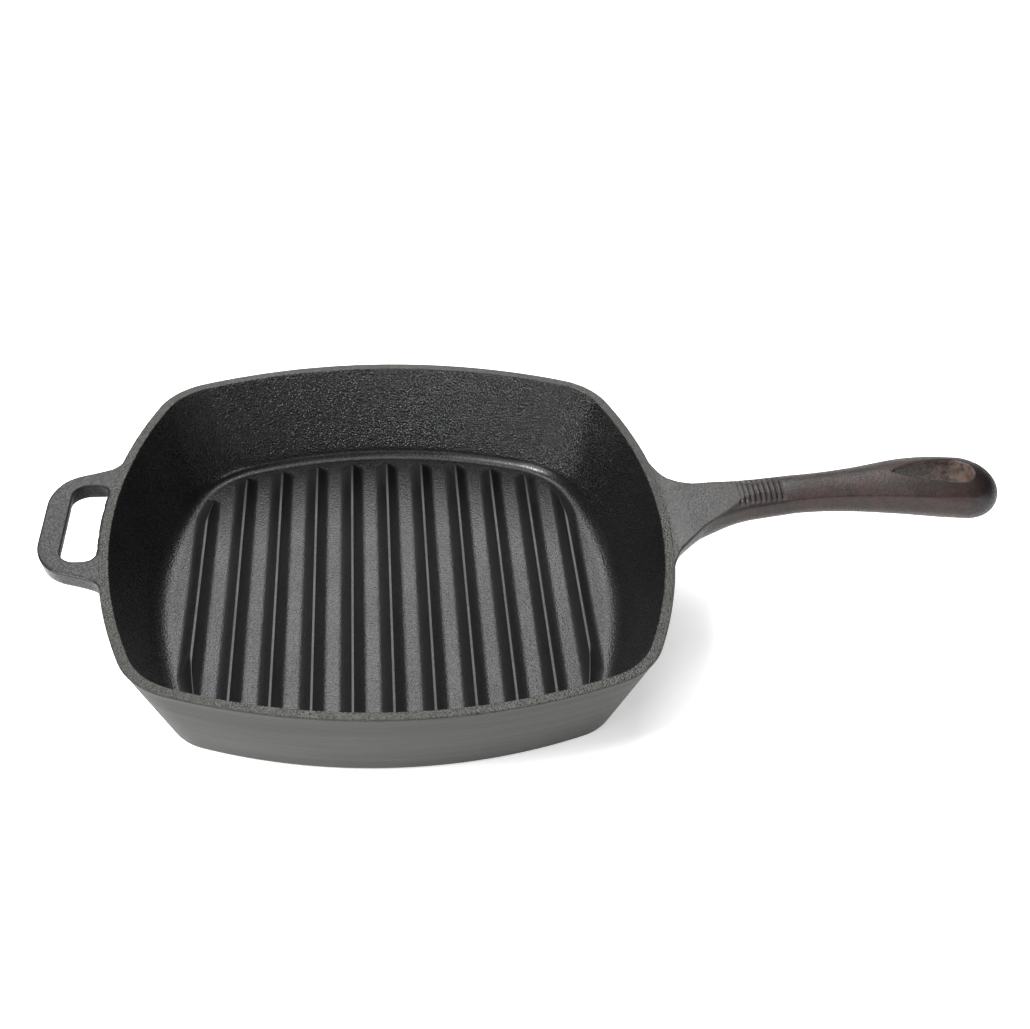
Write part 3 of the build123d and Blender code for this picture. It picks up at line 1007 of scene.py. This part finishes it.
def grip_field(x, y, z):
    """A bar with a domed top, a shoulder and a round belly, and a round end in plan."""
    beyond = np.maximum(x - end_middle_x, 0)
    from_line = np.sqrt(beyond ** 2 + y ** 2)
    half_width = np.where(x > end_middle_x, end_round, grip_half_width(x))
    plan = from_line - half_width
    depth = grip_half_depth(x)
    low = grip_middle(x) - z
    belly_round = depth * belly_share
    across, down = plan + belly_round, low - depth + belly_round
    corner = np.sqrt(np.maximum(across, 0) ** 2 + np.maximum(down, 0) ** 2)
    bar = corner + np.minimum(np.maximum(across, down), 0) - belly_round
    dome = grip_middle(x) + depth - dome_share * depth * (from_line / half_width) ** 2
    fades = np.clip((x - shoulder_fades_x) / shoulder_fade, 0, 1)
    return cut_soft(bar, (z - dome) * dome_slope,
                    blend(shoulder_round, end_shoulder_round, fades))


def root_field(x, y, z):
    """A slab with a flat top and a bowl-shaped underside."""
    half, top, edge = root_half_width(x), root_top(x), root_edge(x)
    bowl = root_depth(x) - edge
    side = (np.abs(y) - half) * root_side_slope
    belly = np.sqrt((y / half) ** 2 + (np.minimum(z - top + edge, 0) / bowl) ** 2)
    under = np.where(z < top - edge, (belly - 1) * bowl * root_belly_slope, root_deep)
    slab = cut_soft(side, z - top, root_side_edge)
    slab = cut_soft(slab, under, root_other_edges)
    return cut_soft(slab, x - root_end_x, root_other_edges)


print("grip height at its far end:", round(float(grip_middle(end_middle_x)), 1), "mm")

# %% [markdown]
# Two cuts finish the handle. The teardrop hole runs straight through, so that the pan can hang.
# Nine shallow grooves cross the neck, where a thumb and finger pinch it; each is a bell-shaped
# dent, deepest in the middle. Boolean modifiers could cut them too, but would leave sharp edges,
# and a cast edge is soft.

# %% Long handle: hole and grooves
hole_end = handle_tip - 13.6
hole_round, hole_length, hole_shift, hole_edge = 8.9, 39.0, 0.8, 1.2
hole_middle, hole_tip = hole_end - hole_round, hole_end - hole_length
hole_flank_power, hole_flank_slope = 0.85, 0.85
groove_first, groove_pitch, groove_count = rim_half + 32.5, 2.5, 9
groove_depth, groove_width = 0.45, 0.55
groove_half_length, groove_shift, groove_runs_out, groove_sinks_in = 9.2, -0.4, 2.0, 4.0
first_groove_share = 0.85


def hole_field(x, y, z):
    """A teardrop prism: a round end and two flanks that run to a point."""
    y = y - hole_shift
    disc = np.sqrt((x - hole_middle) ** 2 + y ** 2) - hole_round
    run = np.clip((x - hole_tip) / (hole_middle - hole_tip), 0, 1)
    flank = np.abs(y) - hole_round * np.sin(run * math.pi / 2) ** hole_flank_power
    wedge = np.maximum(np.maximum(flank * hole_flank_slope, x - hole_middle), hole_tip - x)
    return np.minimum(disc, wedge) + 0 * z


def groove_share(x, y, z):
    """One in the middle of a grip groove and nothing beside it; the first grooves are fainter."""
    steps = (x - groove_first) / groove_pitch
    nearest = np.clip(np.round(steps), 0, groove_count - 1)
    groove = np.exp(-((steps - nearest) * groove_pitch / groove_width) ** 2)
    across = np.clip((groove_half_length - np.abs(y - groove_shift)) / groove_runs_out, 0, 1)
    on_top = np.clip((z - grip_middle(x)) / groove_sinks_in, 0, 1) * across
    return groove * on_top * blend(first_groove_share, 1.0, nearest / (groove_count - 1))


print("hole:", hole_length, "by", 2 * hole_round, "mm;", groove_count, "grooves")

# %% [markdown]
# Now the parts meet: grip and root join in a soft blend, the root flares into the pan's wall, and
# the hole and grooves are cut. A low seam along the shoulders, where the mould's halves met,
# shows that the pan was cast. The skin marks its grooves and hole for the finish.

# %% Long handle mesh
neck_blend, flare_blend, flare_limit, flare_reach = 3.0, 5.0, 4.6, 12
seam_height, seam_half = 0.2, 0.5
seam_start, seam_grows, seam_end, seam_fades = 176, 14, 280, 20
seam_aside, seam_aside_grows = 2, 4
top_limit_edge = 0.8
flat_until_x, flat_deep, below_rim, wall_overlap = 133, -9.0, 0.02, 1.6
hole_mark_reach, hole_mark_fade = 0.5, 0.4


def handle_field(x, y, z):
    wall = wall_field(x, y, z)
    bar = join_soft(grip_field(x, y, z), root_field(x, y, z), neck_blend)
    flare = np.maximum(join_soft(bar, wall, flare_blend), bar - flare_limit)
    form = np.where(wall < flare_reach, flare, bar)
    form = form + groove_depth * groove_share(x, y, z)
    seam = np.exp(-((z - shoulder_height(x)) / seam_half) ** 2)
    seam = seam * np.clip((x - seam_start) / seam_grows, 0, 1)
    seam = seam * np.clip((seam_end - x) / seam_fades, 0, 1)
    form = form - seam_height * seam * np.clip((np.abs(y) - seam_aside) / seam_aside_grows, 0, 1)
    form = cut_soft(form, -hole_field(x, y, z), hole_edge)
    form = cut_soft(form, z - top_limit(x), top_limit_edge)
    form = np.maximum(form, np.where(x < flat_until_x, z - pan_height + below_rim, flat_deep))
    return np.maximum(form, -wall - wall_overlap)


handle_low, handle_high = (121.0, -50.0, 30.0), (handle_tip + 2, 50.0, 75.0)
handle_steps = ((0.45, 0.62, 0.62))
handle_points, handle_quads = skin_of(handle_field, handle_low, handle_high, handle_steps)
handle_points = settle(handle_field, handle_points)
long_handle = object_from("long_handle", handle_points, handle_quads)
mark(long_handle, "groove", groove_share(*handle_points.T))
mark(long_handle, "hole", (hole_mark_reach - hole_field(*handle_points.T)) / hole_mark_fade)
print("long handle:", len(handle_quads), "quads from x", handle_points[:, 0].min(),
      "to", handle_points[:, 0].max())

# %% [markdown]
# The helper handle is a flat loop. Its plan is a short polygon with a big round at each outer
# corner, its sides lean in on the way down so the casting leaves its mould, and the finger slot
# follows the bowed rim on its inner side. It is drawn with the same fields as the long handle.

# %% Helper loop
helper_thickness = 9.2
helper_lean = math.tan(math.radians(11))
slot_lean = helper_lean * 0.8
loop_x = -(rim_half + 27.0)
loop_side_slope = 0.88
loop_corner, slot_edge, top_edge, bottom_edge = 13.0, 1.6, 1.0, 3.0
loop_flare, loop_flare_limit, loop_flare_reach = 3.0, 2.8, 8
slot_low_x = loop_x + 11.0
slot_half_length, slot_corner, slot_relief, slot_mark_reach = 27.8, 7.4, 0.1, 1.5
loop_half_width = track([(-165, 26.5), (-159, 28.5), (-152, 33.6), (-145, 36.5), (-140, 38.2),
                         (-136, 39.7), (-132, 41.4), (-128.6, 43.6), (-124, 48)], 1.4)


def slot_field(x, y, wall):
    """Distance outside the finger slot in plan: straight outside, bowed like the rim inside."""
    across = np.maximum(slot_low_x - x, slot_relief - wall) + slot_corner
    along = np.abs(y) - slot_half_length + slot_corner
    outside = np.sqrt(np.maximum(across, 0) ** 2 + np.maximum(along, 0) ** 2)
    return outside + np.minimum(np.maximum(across, along), 0) - slot_corner


def helper_field(x, y, z):
    wall = wall_field(x, y, z)
    below = pan_height - z
    side = (np.abs(y) - loop_half_width(x)) * loop_side_slope
    plan = cut_soft(side, loop_x - x, loop_corner) + below * helper_lean
    body = cut_soft(plan, -(slot_field(x, y, wall) - below * slot_lean), slot_edge)
    slab = cut_soft(body, -below, top_edge)
    slab = cut_soft(slab, below - helper_thickness, bottom_edge)
    flare = np.maximum(join_soft(slab, wall, loop_flare), slab - loop_flare_limit)
    form = np.where(wall < loop_flare_reach, flare, slab)
    form = np.maximum(form, z - pan_height + below_rim)
    return np.maximum(form, -wall - wall_overlap)


helper_low, helper_high = (loop_x - 2, -56.0, 38.0), (-118.0, 56.0, 52.0)
helper_steps = ((0.5, 0.5, 0.5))
helper_points, helper_quads = skin_of(helper_field, helper_low, helper_high, helper_steps)
helper_points = settle(helper_field, helper_points)
helper_loop = object_from("helper_loop", helper_points, helper_quads)
loop_points = helper_points.T
from_slot = slot_field(loop_points[0], loop_points[1], wall_field(*loop_points))
# The slot mark places the painted shade and the duller finish on the slot's walls
mark(helper_loop, "slot", slot_mark_reach + (pan_height - loop_points[2]) * slot_lean - from_slot)
print("helper loop:", len(helper_quads), "quads")

# %% [markdown]
# Hands have worn the long handle brown from its grooves outward. The brown is mottled, it fades
# before the far end, and the hanging hole is reddest inside, where hooks rubbed it to rust. The
# grooves hold dark seasoning. Paint on the mesh could do this, but masks drawn from the place on
# the pan and the marks of its form stay sharp at any distance.

# %% Finish for the long handle
hand_brown = (0.026, 0.0145, 0.0125)
root_gray = (0.027, 0.0265, 0.0255)
far_black = (0.002, 0.0018, 0.0018)
hole_rust, hole_dark = (0.105, 0.070, 0.057), (0.020, 0.0135, 0.0115)
fine_patch, broad_patch = 2.4, 14.0
brown_x, far_end_x, rust_x = (144, 180), (270, 286), (244, 266)
worn_x, worn_relief = (150, 185), (0.5, 0.3)
matte_x, matte = (150, 190), (0.02, 0.12)
# A mottle maps a noise: the low and high that it reads, then the low and high that it gives
gray_mottle, brown_mottle = (0.3, 0.7, 0.7, 1.0), (0.38, 0.58, 0.30, 1.0)
ragged_edge, rust_streaks, groove_span = (0.35, 0.65, -0.25, 0.25), (0.40, 0.60), (0.25, 0.8)


def hand_wear(tree, where, color, roughness, height):
    fine = place_group(tree, tone_drift, where, "Patch mm", fine_patch)["Drift"]
    broad = place_group(tree, tone_drift, where, "Patch mm", broad_patch)["Drift"]
    patches = sum_node(tree, "MULTIPLY_ADD", fine, 0.5, sum_node(tree, "MULTIPLY", broad, 0.5))
    gray = mix_color(tree, map_range(tree, fine, *gray_mottle), color, root_gray)
    brown = mix_color(tree, map_range(tree, patches, *brown_mottle), color, hand_brown)
    begins = sum_node(tree, "ADD", along(tree, where, "X", brown_x),
                      map_range(tree, patches, *ragged_edge))
    color = mix_color(tree, begins, gray, brown)
    color = mix_color(tree, along(tree, where, "X", far_end_x), color, far_black)
    streak = sum_node(tree, "MULTIPLY", map_range(tree, patches, *rust_streaks),
                      along(tree, where, "X", rust_x, 0.15))
    hole, groove = attribute_node(tree, "hole"), attribute_node(tree, "groove")
    color = mix_color(tree, hole, color, mix_color(tree, streak, hole_dark, hole_rust))
    color = mix_color(tree, map_range(tree, groove, *groove_span), color, pit_and_shade_black)
    roughness = sum_node(tree, "ADD", roughness, along(tree, where, "X", matte_x, *matte))
    height = sum_node(tree, "MULTIPLY", height, along(tree, where, "X", worn_x, *worn_relief))
    return color, roughness, height


handle_iron = iron_finish("handle_iron", extra=hand_wear, sheen=0.32)
long_handle.data.materials.append(handle_iron)
print("handle finish:", len(handle_iron.node_tree.nodes), "nodes")

# %% [markdown]
# The helper is lifted less than the grip is held, so it has stayed gray. Its top is smooth, and
# the walls of its slot are dull, with painted shade that makes them black.

# %% Finish for the helper handle
helper_dark, helper_light = (0.004, 0.004, 0.0038), (0.013, 0.0122, 0.011)
helper_rough = (0.34, 0.46)
slot_matte, slot_span = 0.3, (0.3, 0.9)


def slot_painted_shade(tree, where, color, roughness, height):
    slot = map_range(tree, attribute_node(tree, "slot"), *slot_span)
    roughness = sum_node(tree, "MULTIPLY_ADD", slot, slot_matte, roughness)
    # Painted shade: the slot's walls are coloured black
    return mix_color(tree, slot, color, pit_and_shade_black), roughness, height


helper_iron = iron_finish("helper_iron", bump=0.3, dark=helper_dark, light=helper_light,
                          rough=helper_rough, sheen=0.36, extra=slot_painted_shade)
helper_loop.data.materials.append(helper_iron)
print("materials:", [finish.name for finish in bpy.data.materials])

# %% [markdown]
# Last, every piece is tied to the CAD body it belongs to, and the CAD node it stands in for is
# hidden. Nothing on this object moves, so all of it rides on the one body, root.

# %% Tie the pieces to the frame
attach(pan_shell, "root")
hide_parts("pan_body")
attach(long_handle, "root")
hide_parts("main_handle")
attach(helper_loop, "root")
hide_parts("helper_handle")
for rib in ribs:
    node = "grill_" + rib.name
    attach(rib, "root")
    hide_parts(node)
print("pieces tied:", 3 + len(ribs))
